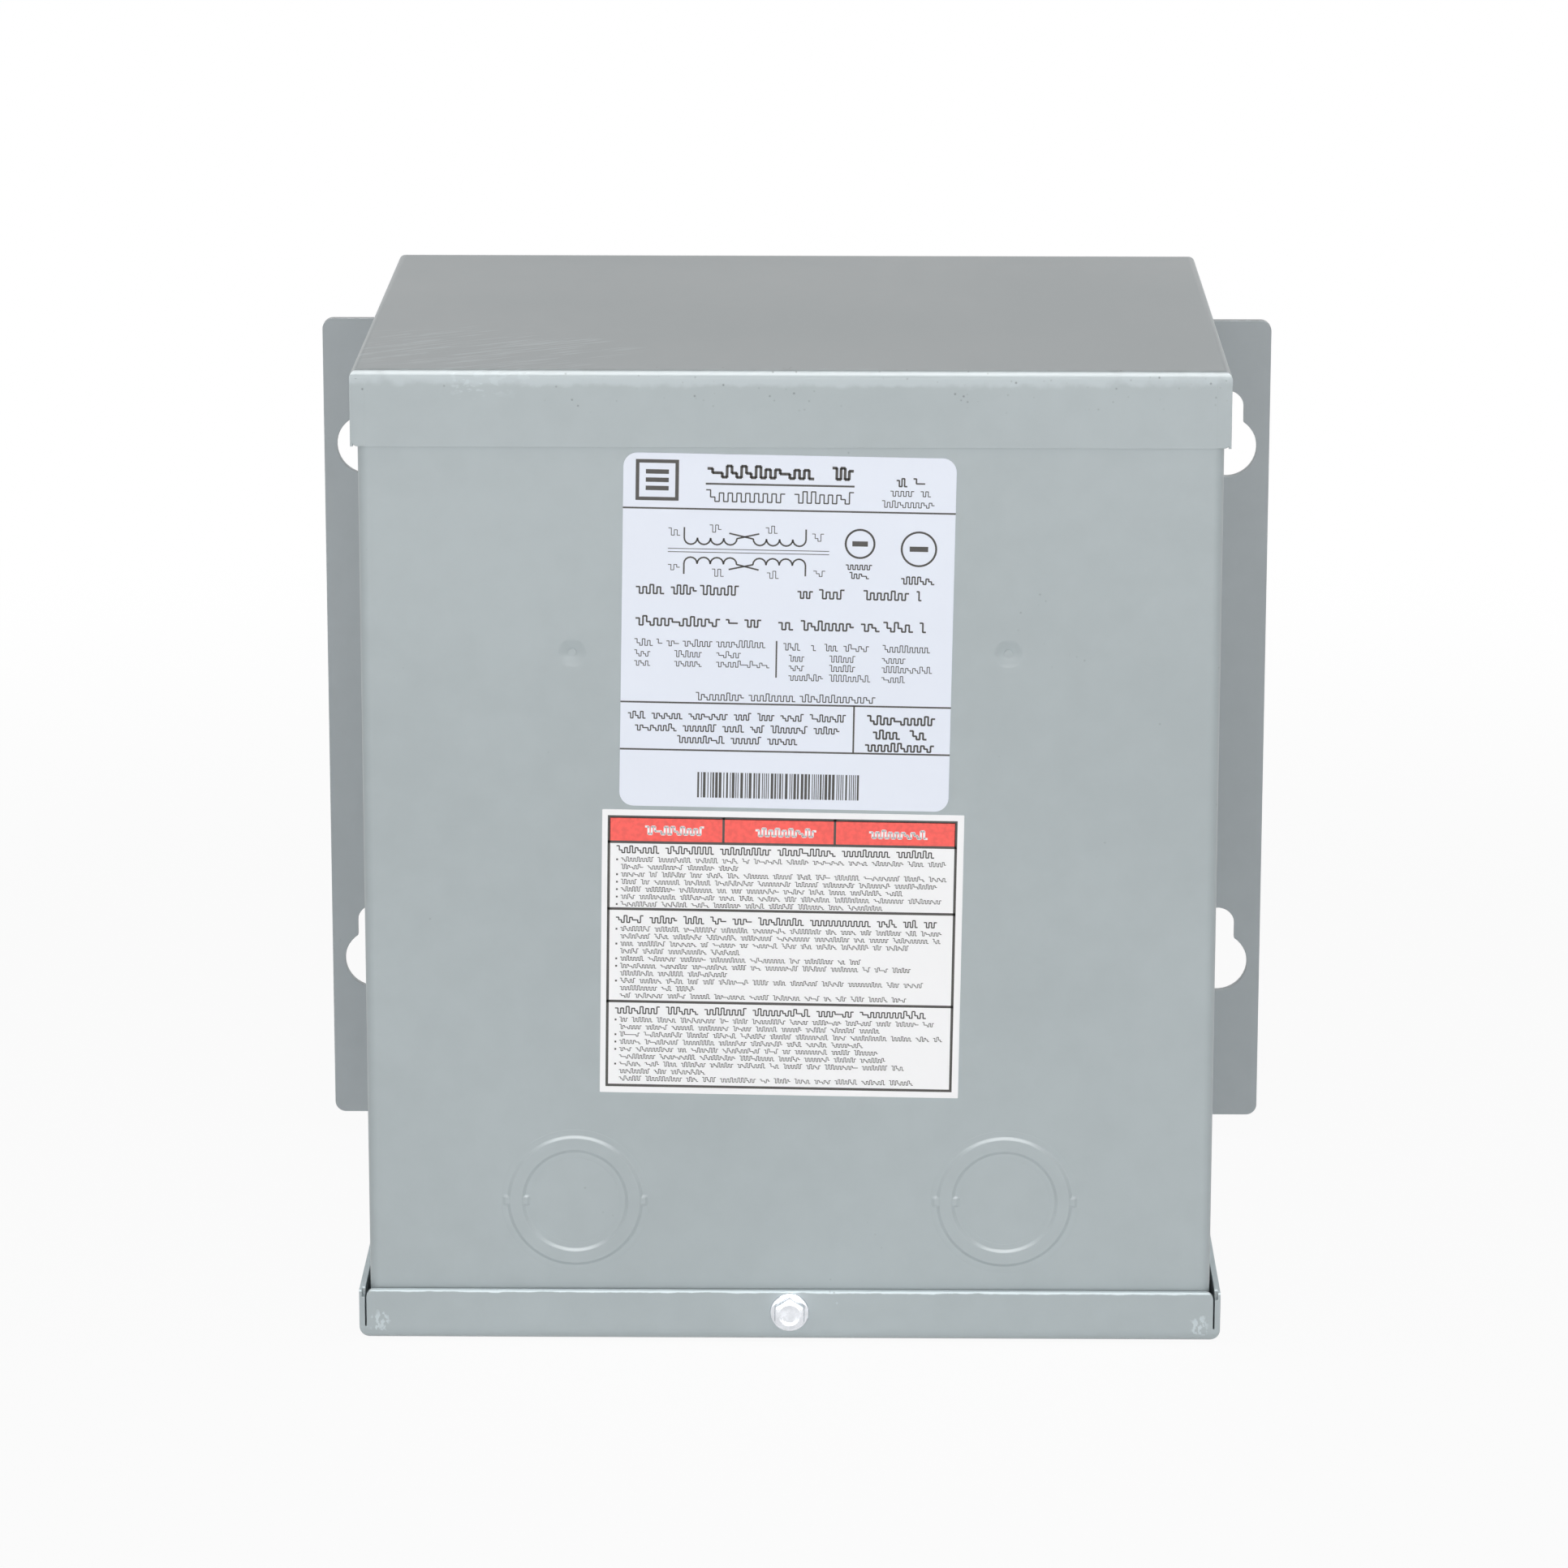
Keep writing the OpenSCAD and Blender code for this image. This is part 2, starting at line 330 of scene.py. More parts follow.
class Material(Graph):
    """A material with a Principled shader, and calls to place the shared effects in it."""

    def __init__(self, name: str, roughness: float, metallic: float = 0.0) -> None:
        """Starts a material.

        Args:
            name: The material's name.
            roughness: The roughness before any change over the surface.
            metallic: 1 for bare metal and 0 for the rest.
        """
        self.data = bpy.data.materials.new(name)
        self.data.use_nodes = True
        super().__init__(self.data.node_tree)
        self.shader = self.tree.nodes["Principled BSDF"]
        self.shader.inputs["Roughness"].default_value = roughness
        self.shader.inputs["Metallic"].default_value = metallic
        self.point = self.place()

    def effect(self, name: str, **values: object) -> dict[str, Socket]:
        """Places a shared effect at the surface point.

        Args:
            name: The effect's name.
            values: Its inputs, with an underscore for each space in their names.

        Returns:
            Its outputs by name.
        """
        node = self.tree.nodes.new("ShaderNodeGroup")
        node.node_tree = Effect.built[name]
        self.tree.links.new(self.point, node.inputs["Point"])
        for key, value in values.items():
            node.inputs[key.replace("_", " ")].default_value = value
        return {socket.name: socket for socket in node.outputs}

    def bump(self, height: Socket, depth: float) -> None:
        """Joins a height to the shader's normal.

        Args:
            height: The height over the surface, from 0 to 1.
            depth: What a height of 1 stands for, in metres.
        """
        node = self.add("Bump", {"Height": height, "Strength": 1.0, "Distance": depth})
        self.tree.links.new(node.outputs[0], self.shader.inputs["Normal"])

    def feed(self, name: str, socket: Socket) -> None:
        """Joins a socket to one of the shader's inputs."""
        self.tree.links.new(socket, self.shader.inputs[name])


def tinted(colour: Sequence[float], share: float) -> Triple:
    """Scales a colour's three parts by one share."""
    return tuple(min(1.0, part * share) for part in colour)


@dataclass(frozen=True)
class CoatedSteel:
    """Sprayed and baked paint on thin steel sheet."""

    name: str
    coat: Coat
    roughness: float = 0.36
    cloud: float = 0.035
    peel_depth: float = 0.006 * MM
    speck_cover: float = 0.66
    speck_tint: float = 0.72

    def start(self) -> tuple[Material, Socket]:
        """Builds the paint with its orange peel and cloudy shade.

        Returns:
            The material, and the colour before any wear.
        """
        made = Material(self.name, self.roughness)
        coat = made.effect("sprayed_coat")
        base = self.coat.value
        colour = made.mix(coat["Cloud"], tinted(base, 1 - self.cloud), tinted(base, 1 + self.cloud))
        made.bump(coat["Height"], self.peel_depth)
        rough = made.math("ADD", made.math("MULTIPLY", coat["Cloud"], 0.07), self.roughness - 0.035)
        made.feed("Roughness", rough)
        return made, colour

    def build(self) -> Finish:
        """Builds the material with scattered specks and no marks of its own."""
        made, colour = self.start()
        specks = made.effect("scattered_specks", Cover=self.speck_cover)
        made.feed("Base Color", made.mix(specks["Mask"], colour, tinted(self.coat.value, self.speck_tint)))
        return made.data


@dataclass(frozen=True)
class MarkedSteel(CoatedSteel):
    """Coated sheet with pale handling streaks in one patch and a painted highlight along its front fold."""

    scuff_centre: Triple = ORIGIN
    scuff_half: Triple = (0.03, 0.03, 0.03)
    scuff_turn: Triple = ORIGIN
    # Where the painted highlight along the fold lies, and how strong and how pale it is.
    fold_highlight_centre: Triple = ORIGIN
    fold_highlight_half: Triple = (0.09, 0.002, 0.002)
    scuff_share: float = 0.55
    scuff_tint: float = 1.5
    fold_highlight_share: float = 0.5
    fold_highlight_tint: float = 1.45
    speck_share: float = 0.8
    speck_cover: float = 0.56
    speck_tint: float = 0.3

    def build(self) -> Finish:
        """Builds the material with its streaks, a painted highlight along the fold and dark specks beside it.
        """
        made, colour = self.start()
        base = self.coat.value
        patch = made.effect("broken_patch", Centre=self.scuff_centre, Half_Size=self.scuff_half)
        streaks = made.effect("drawn_streaks", Turn=self.scuff_turn)
        scuffs = made.math("MULTIPLY", patch["Mask"], streaks["Mask"])
        scuffs = made.math("MULTIPLY", scuffs, self.scuff_share)
        colour = made.mix(scuffs, colour, tinted(base, self.scuff_tint))
        # Painted highlight: a broken pale band along the front fold stands in for the light that the bend
        # catches.
        fold = made.effect(
            "broken_patch", Centre=self.fold_highlight_centre, Half_Size=self.fold_highlight_half, Breakup_Scale=240.0
        )
        fold_highlight_mask = made.math("MULTIPLY", fold["Mask"], self.fold_highlight_share)
        colour = made.mix(fold_highlight_mask, colour, tinted(base, self.fold_highlight_tint))
        specks = made.effect("scattered_specks", Scale=520.0, Size=0.2, Cover=self.speck_cover)
        near = made.effect(
            "broken_patch", Centre=self.fold_highlight_centre, Half_Size=tuple(3.0 * part for part in self.fold_highlight_half)
        )
        dark = made.math("MULTIPLY", made.math("MULTIPLY", specks["Mask"], near["Mask"]), self.speck_share)
        made.feed("Base Color", made.mix(dark, colour, tinted(base, self.speck_tint)))
        return made.data


@dataclass(frozen=True)
class PaleEdgeSteel(CoatedSteel):
    """Coated sheet with a pale band along its cut upper edge and chipped lower corners."""

    level: float = 0.0
    reach: float = 0.5 * MM
    chips: tuple[Triple, ...] = ()
    chip_half: Triple = (2.4 * MM, 2.0 * MM, 3.0 * MM)
    edge_tint: float = 2.0
    chip_share: float = 0.6
    chip_tint: float = 1.6
    speck_cover: float = 0.62
    speck_tint: float = 1.3

    def build(self) -> Finish:
        """Builds the material with its pale edge and its chips."""
        made, colour = self.start()
        base = self.coat.value
        # A paler band of the coat's colour just below the upper edge.
        edge = made.effect("pale_upper_edge", Level=self.level, Reach=self.reach)
        colour = made.mix(edge["Mask"], colour, tinted(base, self.edge_tint))
        for place in self.chips:
            patch = made.effect("broken_patch", Centre=place, Half_Size=self.chip_half, Breakup_Scale=900.0)
            flakes = made.effect("drawn_streaks", Stretch=(0.9 * MM, 0.9 * MM, 1.4 * MM), Cover=0.5)
            chipped = made.math("MULTIPLY", patch["Mask"], flakes["Mask"])
            chipped = made.math("MULTIPLY", chipped, self.chip_share)
            colour = made.mix(chipped, colour, tinted(base, self.chip_tint))
        specks = made.effect("scattered_specks", Cover=self.speck_cover)
        made.feed("Base Color", made.mix(specks["Mask"], colour, tinted(base, self.speck_tint)))
        return made.data


@dataclass(frozen=True)
class ZincPlate:
    """Bright zinc plating with faint clouds and fine tool marks."""

    name: str = "zinc"
    colour: Triple = (0.80, 0.82, 0.86)

    def build(self) -> Finish:
        """Builds the plating."""
        made = Material(self.name, 0.22, 1.0)
        grain = made.effect("fine_grain", Scale=1500.0, Patch_Scale=420.0)
        made.feed("Base Color", made.mix(grain["Patch"], tinted(self.colour, 0.86), self.colour))
        made.feed("Roughness", made.math("ADD", made.math("MULTIPLY", grain["Patch"], 0.14), 0.16))
        made.bump(grain["Height"], 0.004 * MM)
        return made.data


@dataclass(frozen=True)
class CardStock:
    """Smooth label stock with a faint paper tooth."""

    name: str
    colour: Triple

    def build(self) -> Finish:
        """Builds the label stock."""
        made = Material(self.name, 0.42)
        grain = made.effect("fine_grain", Patch_Scale=34.0)
        made.feed("Base Color", made.mix(grain["Patch"], tinted(self.colour, 0.985), self.colour))
        made.feed("Roughness", made.math("ADD", made.math("MULTIPLY", grain["Height"], 0.1), 0.38))
        made.bump(grain["Height"], 0.0015 * MM)
        return made.data


@dataclass(frozen=True)
class PrintInk:
    """Ink printed on label stock, a little uneven."""

    name: str
    ink: Ink

    def build(self) -> Finish:
        """Builds the ink."""
        made = Material(self.name, 0.5)
        grain = made.effect("fine_grain", Scale=3200.0, Patch_Scale=900.0)
        thin, thick = (tinted(self.ink.value, share) for share in (0.9, 1.08))
        made.feed("Base Color", made.mix(grain["Patch"], thin, thick))
        made.bump(grain["Height"], 0.001 * MM)
        return made.data


@dataclass(frozen=True)
class CastResin:
    """Dark sand-filled casting resin."""

    name: str = "resin"

    def build(self) -> Finish:
        """Builds the resin."""
        made = Material(self.name, 0.1)
        grain = made.effect("fine_grain", Scale=900.0, Patch_Scale=45.0)
        made.feed("Base Color", made.mix(grain["Patch"], (0.035, 0.036, 0.04), (0.06, 0.062, 0.066)))
        made.bump(grain["Height"], 0.05 * MM)
        return made.data


# ---------------------------------------------------------------------------------------------
# Mesh helpers


def link_piece(name: str, mesh: bpy.types.Mesh, finish: Finish) -> Piece:
    """Makes an object of a mesh and gives it its finish.

    Args:
        name: The piece's name.
        mesh: Its mesh.
        finish: Its material.

    Returns:
        The new object.
    """
    piece = bpy.data.objects.new(name, mesh)
    bpy.context.scene.collection.objects.link(piece)
    mesh.materials.clear()
    mesh.materials.append(finish)
    return piece


def seat(piece: Piece, slot: str, *nodes: str) -> Piece:
    """Fixes a piece to the frame and hides the solids that it stands for.

    Args:
        piece: The piece, which is in place.
        slot: Not used.
        nodes: The solids of the frame that it replaces.

    Returns:
        The piece.
    """
    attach(piece, "root")
    if nodes:
        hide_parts(*nodes)
    log.info("%s: %d faces", piece.name, len(piece.data.polygons))
    return piece


def soften(piece: Piece, width: float, segments: int = 3, angle: float = 40.0) -> None:
    """Rounds a piece's sharp edges and keeps its flat faces flat.

    Args:
        piece: The piece to round.
        width: How wide each rounded edge is.
        segments: How many faces go round each edge.
        angle: The smallest turn, in degrees, that counts as a sharp edge.
    """
    for face in piece.data.polygons:
        face.use_smooth = True
    bevel = piece.modifiers.new("soft_edges", "BEVEL")
    bevel.width = width
    bevel.segments = segments
    bevel.limit_method = "ANGLE"
    bevel.angle_limit = math.radians(angle)
    bevel.miter_outer = "MITER_ARC"
    weighted = piece.modifiers.new("flat_faces", "WEIGHTED_NORMAL")
    weighted.weight = 90
    weighted.keep_sharp = False


def close_mesh(work: bmesh.types.BMesh, name: str) -> bpy.types.Mesh:
    """Turns faces outward and makes the mesh.

    Args:
        work: The faces, which are freed.
        name: The mesh's name.

    Returns:
        The new mesh.
    """
    bmesh.ops.recalc_face_normals(work, faces=work.faces)
    mesh = bpy.data.meshes.new(name)
    work.to_mesh(mesh)
    work.free()
    return mesh


def frame_mesh(node: str) -> bpy.types.Mesh:
    """Makes a clean mesh over one of the frame's solids, with each flat face in one piece.

    Args:
        node: The solid's name.

    Returns:
        A new mesh.
    """
    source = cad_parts[node].data
    weld = 0.002 * MM
    work = bmesh.new()
    corners = [work.verts.new(vertex.co) for vertex in source.vertices]
    for face in source.polygons:
        work.faces.new([corners[index] for index in face.vertices])
    bmesh.ops.remove_doubles(work, verts=work.verts, dist=weld)
    bmesh.ops.dissolve_degenerate(work, dist=weld, edges=work.edges)
    bmesh.ops.dissolve_limit(work, angle_limit=math.radians(0.6), verts=work.verts, edges=work.edges)
    return close_mesh(work, node + "_mesh")


def centre_of(node: str) -> Vector:
    """Finds the middle of a solid's box."""
    low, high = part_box(node)
    return (low + high) / 2


def turned_ring(
    work: bmesh.types.BMesh, steps: int, at: Callable[[float], tuple[float, float]], middle: Vector
) -> list[bmesh.types.BMVert]:
    """Adds one ring of vertices about an axis along Y.

    Args:
        work: The mesh to add to.
        steps: How many vertices it has.
        at: Gives the radius and Y at an angle from the top.
        middle: A point on the axis.

    Returns:
        The new vertices.
    """
    made = []
    for step in range(steps):
        turn = 2 * math.pi * step / steps
        radius, depth = at(turn)
        place = (middle.x + radius * math.sin(turn), depth, middle.z + radius * math.cos(turn))
        made.append(work.verts.new(place))
    return made


def bridge(work: bmesh.types.BMesh, rings: Sequence[Sequence[bmesh.types.BMVert]]) -> None:
    """Joins each ring of vertices to the next with faces.

    Args:
        work: The mesh that holds the rings.
        rings: The rings in order; a ring of one vertex is a tip.
    """
    for outer, inner in zip(rings, rings[1:]):
        count = max(len(outer), len(inner))
        for step in range(count):
            ahead = (step + 1) % count
            if len(inner) == 1:
                corners = [outer[step], outer[ahead], inner[0]]
            elif len(outer) == 1:
                corners = [outer[0], inner[ahead], inner[step]]
            else:
                corners = [outer[step], outer[ahead], inner[ahead], inner[step]]
            work.faces.new(corners)


def arc(centre: tuple[float, float], radius: float, start: float, end: float, steps: int = 8) -> Outline:
    """Points along an arc.

    Args:
        centre: The arc's centre.
        radius: Its radius.
        start: Its first angle in degrees.
        end: Its last angle in degrees.
        steps: How many stretches it has.

    Returns:
        The points from start to end.
    """
    turns = [math.radians(start + (end - start) * step / steps) for step in range(steps + 1)]
    return [(centre[0] + radius * math.cos(turn), centre[1] + radius * math.sin(turn)) for turn in turns]


# ---------------------------------------------------------------------------------------------
# Steel work


@dataclass
class SteelPiece:
    """A folded or flat steel piece that keeps the frame's shape and gets softly rounded edges."""

    node: str
    slot: str
    edge: float = 0.28 * MM
    segments: int = 3

    def build(self, finish: Finish) -> Piece:
        """Builds the piece.

        Args:
            finish: Its paint.

        Returns:
            The piece, fixed to the frame.
        """
        piece = link_piece(self.node + "_steel", frame_mesh(self.node), finish)
        soften(piece, self.edge, self.segments)
        return seat(piece, self.slot, self.node)


@dataclass
class FlangeLap:
    """The end of the lid's front flange, lapped over the end of the side flange."""

    side: int
    lap_in: float = 3.2 * MM
    lap_out: float = 0.25 * MM
    corner: float = 1.3 * MM
    proud: float = 0.02 * MM
    thick: float = 0.5 * MM
    edge: float = 0.2 * MM
    foot: float = 0.02 * MM
    head: float = 1.85 * MM

    def outline(self, low: Vector, high: Vector) -> Outline:
        """The lap's outline in X and Z, round at its lower outer corner.

        Args:
            low: The lid's lowest corner.
            high: The lid's highest corner.

        Returns:
            The outline's points in turn.
        """
        inner, outer = high.x - self.lap_in, high.x - self.lap_out
        foot, head = low.z + self.foot, high.z - self.head
        rounded = arc((outer - self.corner, foot + self.corner), self.corner, -90.0, 0.0, 8)
        return [(inner, foot), *rounded, (outer, head), (inner, head)]

    def build(self, finish: Finish) -> Piece:
        """Builds the lap.

        Args:
            finish: The lid's paint.

        Returns:
            The lap, fixed to the frame.
        """
        low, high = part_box("top_cover")
        work = bmesh.new()
        rings = []
        for depth in (low.y + self.thick, low.y - self.proud):
            rings.append([work.verts.new((self.side * x, depth, z)) for x, z in self.outline(low, high)])
        bridge(work, rings)
        for ring in rings:
            work.faces.new(ring)
        name = "top_cover_lap_" + ("right" if self.side > 0 else "left")
        piece = link_piece(name, close_mesh(work, name), finish)
        soften(piece, self.edge)
        return seat(piece, "case_paint")


def smooth(value: float) -> float:
    """Eases a value from 0 to 1, and holds it outside that range."""
    held = min(1.0, max(0.0, value))
    return held * held * (3 - 2 * held)


def eased(value: float, soft: float = 0.35) -> float:
    """Climbs from 0 to 1, mostly straight, with a soft start and end."""
    straight = min(1.0, max(0.0, value))
    return straight * (1 - soft) + smooth(value) * soft


@dataclass
class Knockout:
    """A pressed knockout: a ring that stands proud with soft rims, a level disc, and their ties."""

    side: str
    outer_r: float = 14.2 * MM
    inner_r: float = 11.05 * MM
    rim: float = 0.72 * MM
    reach: float = 1.1 * MM
    tie_half: float = 0.95 * MM
    tie_soft: float = 0.4 * MM
    tie_share: float = 0.75
    apron_out: float = 1.7 * MM
    apron_in: float = 1.6 * MM
    disc_lap: float = 0.4 * MM
    lift: float = 0.012 * MM
    tuck: float = 0.06 * MM
    steps: int = 360
    rings: int = 84
    disc_steps: int = 96

    def swell(self, radius: float, outer: float, inner: float) -> float:
        """Height of the ring's section at a radius, from 0 at the sheet to 1 on top.

        Args:
            radius: Distance from the knockout's axis.
            outer: Radius of the outer rim's middle.
            inner: Radius of the inner rim's middle.

        Returns:
            The height as a share of the full one.
        """
        rise = eased((outer - radius) / self.rim + 0.5)
        fall = eased((radius - inner) / self.rim + 0.5)
        return rise * fall

    def height(self, radius: float, turn: float) -> float:
        """Height of the pressed surface, with the ties at both sides outside and at one side inside.

        Args:
            radius: Distance from the axis.
            turn: The angle from the top.

        Returns:
            The height as a share of the full one.
        """
        level = abs(radius * math.cos(turn))
        held = smooth((self.tie_half - level) / self.tie_soft + 0.5)
        inner_reach = self.reach if math.sin(turn) < 0 else 0.0
        tied = self.swell(radius, self.outer_r + self.reach, self.inner_r - inner_reach)
        return max(self.swell(radius, self.outer_r, self.inner_r), self.tie_share * held * tied)

    def build(self, finish: Finish) -> list[Piece]:
        """Builds the ring and the disc.

        Args:
            finish: Their paint.

        Returns:
            The two pieces, fixed to the frame.
        """
        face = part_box("case_wrap")[0].y
        ring_node, disc_node = "knockout_ring_" + self.side, "knockout_disc_" + self.side
        middle = centre_of(ring_node)
        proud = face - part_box(ring_node)[0].y
        start, stop = self.outer_r + self.apron_out, self.inner_r - self.apron_in
        work = bmesh.new()
        rings = []
        for index in range(self.rings + 1):
            radius = start + (stop - start) * index / self.rings
            base = face + (self.tuck if index in (0, self.rings) else -self.lift)
            rings.append(turned_ring(
                work, self.steps, lambda turn, r=radius, b=base: (r, b - proud * self.height(r, turn)), middle
            ))
        bridge(work, rings)
        disc = bmesh.new()
        level = face - self.lift / 2
        rings = [
            turned_ring(disc, self.disc_steps, lambda turn, r=radius: (r, level), middle)
            for radius in (stop + self.disc_lap, stop * 0.5)
        ]
        bridge(disc, [*rings, [disc.verts.new((middle.x, level, middle.z))]])
        made = []
        for node, part in ((ring_node, work), (disc_node, disc)):
            mesh = close_mesh(part, node + "_pressed")
            for polygon in mesh.polygons:
                polygon.use_smooth = True
            piece = link_piece(node + "_pressed", mesh, finish)
            self.face_out(piece)
            made.append(seat(piece, "case_paint", node))
        return made

    def face_out(self, piece: Piece) -> None:
        """Turns an open surface so that it faces the front."""
        mesh = piece.data
        if sum(polygon.normal.y * polygon.area for polygon in mesh.polygons) > 0:
            mesh.flip_normals()


@dataclass
class HexWasherScrew:
    """Cold-formed hexagon screw with a washer face and a dished head."""

    washer_r: float = 4.2 * MM
    washer_t: float = 0.8 * MM
    across_flats: float = 6.35 * MM
    top_flats: float = 6.0 * MM
    face_r: float = 2.35 * MM
    dish: float = 0.16 * MM
    chamfer: float = 0.32 * MM
    corner_share: float = 1.135
    shank_r: float = 2.05 * MM
    rim: float = 0.3 * MM
    steps: int = 120

    def corner_radius(self, flats: float, turn: float) -> float:
        """Distance from the axis to a hexagon's side.

        Args:
            flats: The hexagon's size across its flats.
            turn: The angle from the upper corner.

        Returns:
            The distance in that direction, with its corners a little rounded.
        """
        local = (turn % (math.pi / 3)) - math.pi / 6
        return min(flats / 2 / math.cos(local), flats / 2 * self.corner_share)

    def build(self, finish: Finish) -> Piece:
        """Builds the screw.

        Args:
            finish: Its plating.

        Returns:
            The piece, fixed to the frame.
        """
        low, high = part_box("cover_screw")
        middle = centre_of("cover_screw")
        seat_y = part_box("bottom_cover")[0].y
        top = low.y
        work = bmesh.new()
        rings = []
        for radius, depth in self.washer_profile(seat_y, high.y):
            rings.append(turned_ring(work, self.steps, lambda turn, r=radius, y=depth: (r, y), middle))
        base = seat_y - self.washer_t
        height = base - top
        for share, flats in self.side_stages():
            at = partial(self.side_point, share=share, flats=flats, base=base, height=height)
            rings.append(turned_ring(work, self.steps, at, middle))
        for radius, depth in self.face_profile(top):
            rings.append(turned_ring(work, self.steps, lambda turn, r=radius, y=depth: (r, y), middle))
        rings.append([work.verts.new((middle.x, top + self.dish, middle.z))])
        bridge(work, rings)
        mesh = close_mesh(work, "hex_washer_screw")
        for face in mesh.polygons:
            face.use_smooth = True
        mesh.set_sharp_from_angle(angle=math.radians(48))
        return seat(link_piece("hex_washer_screw", mesh, finish), "zinc", "cover_screw")

    def washer_profile(self, seat_y: float, tip_y: float) -> Outline:
        """Radius and Y from the shank's tip to the washer's rim and in to the hexagon's foot."""
        shank, rim = self.shank_r, self.rim
        front = seat_y - self.washer_t
        return [
            (0.4 * MM, tip_y),
            (shank, tip_y - 1.2 * MM),
            (shank, seat_y),
            (self.washer_r - 0.1 * MM, seat_y),
            (self.washer_r, seat_y - rim * 0.6),
            (self.washer_r - 0.08 * MM, front + rim * 0.6),
            (self.washer_r - rim, front + 0.02 * MM),
        ]

    def side_stages(self) -> list[tuple[float, float]]:
        """Share of the height and size across flats, from the fillet at the foot up to the chamfer."""
        return [
            (0.0, self.across_flats + 0.45 * MM),
            (0.07, self.across_flats + 0.12 * MM),
            (0.2, self.across_flats),
            (0.97, self.top_flats + 0.08 * MM),
            (1.0, self.top_flats),
        ]

    def side_point(
        self, turn: float, share: float, flats: float, base: float, height: float
    ) -> tuple[float, float]:
        """Radius and Y of a point on the hexagon's side.

        Args:
            turn: The angle from the upper corner.
            share: How far up the side the point is, from 0 to 1.
            flats: The size across flats there.
            base: Y of the hexagon's foot.
            height: The hexagon's height.

        Returns:
            Radius and Y, with the corners cut lower by the chamfer's cone.
        """
        radius = self.corner_radius(flats, turn)
        slope = self.chamfer / (self.top_flats / 2 - self.face_r)
        drop = max(0.0, radius - self.face_r) * slope
        return radius, base - share * (height - drop)

    def face_profile(self, top: float) -> Outline:
        """Radius and Y from the chamfer's inner edge over the rim and into the dish."""
        return [
            (self.face_r, top),
            (self.face_r - 0.12 * MM, top + 0.015 * MM),
            (self.face_r - 0.24 * MM, top + self.dish * 0.75),
            (self.face_r - 0.9 * MM, top + self.dish * 0.95),
        ]


# ---------------------------------------------------------------------------------------------
# Labels


class Print:
    """A layer of flat printed shapes, laid out in millimetres right and down from a card's corner."""

    def __init__(self, name: str, seed: int) -> None:
        """Starts an empty layer.

        Args:
            name: The layer's name.
            seed: Where its spread of word and mark widths starts.
        """
        self.name = name
        self.shapes: list[Outline] = []
        self.random = random.Random(seed)

    def block(self, left: float, top: float, width: float, height: float) -> None:
        """Adds a filled rectangle."""
        right, bottom = left + width, top + height
        self.shapes.append([(left, top), (right, top), (right, bottom), (left, bottom)])

    def frame(self, left: float, top: float, width: float, height: float, line: float) -> None:
        """Adds the outline of a rectangle, drawn inside its size."""
        self.block(left, top, width, line)
        self.block(left, top + height - line, width, line)
        self.block(left, top + line, line, height - 2 * line)
        self.block(left + width - line, top + line, line, height - 2 * line)

    def stroke(self, path: Outline, line: float) -> None:
        """Adds a line of even width along a path.

        Args:
            path: The points of its middle.
            line: Its width.
        """
        for start, end in zip(path, path[1:]):
            along = Vector(end) - Vector(start)
            if along.length < 1e-9:
                continue
            along.normalize()
            side = Vector((-along.y, along.x)) * line / 2
            reach = along * line * 0.12
            a, b = Vector(start) - reach, Vector(end) + reach
            self.shapes.append([tuple(a + side), tuple(b + side), tuple(b - side), tuple(a - side)])

    def ring(self, centre: tuple[float, float], radius: float, line: float) -> None:
        """Adds a circle's outline."""
        self.stroke(arc(centre, radius, 0, 360, 40), line)

    def words(self, top: float, height: float, spans: Outline, weight: float = 0.1) -> None:
        """Adds a row of blank words, each one wandering line that spells nothing.

        Args:
            top: The row's upper edge.
            height: The height of the line's full swing.
            spans: Left and right end of each word.
            weight: The line's width as a share of its height.
        """
        line = height * weight
        for left, right in spans:
            count = max(2, round((right - left) / (height * 0.34)))
            pitch = (right - left - line) / count
            level = 1.0
            path: Outline = []
            for index in range(count):
                low = level == 1.0
                level = self.random.choice((0.0, 0.25, 0.25) if low else (1.0, 1.0, 1.0, 0.62))
                start = left + line / 2 + index * pitch
                depth = top + line / 2 + level * (height - line)
                path += [(start, depth), (start + pitch, depth)]
            self.stroke(path, line)

    def line_of_words(self, left: float, right: float, top: float, height: float, weight: float) -> None:
        """Fills a line with blank words of random length.

        Args:
            left: The line's left end.
            right: Its right end.
            top: Its upper edge.
            height: The height of a tall mark.
            weight: The line's width as a share of its height.
        """
        spans: Outline = []
        cursor = left
        while cursor < right - height:
            end = min(right, cursor + height * self.random.uniform(1.6, 7.5))
            if right - end < height * 1.5:
                end = right
            spans.append((cursor, end))
            cursor = end + height * 0.62
        self.words(top, height, spans, weight)


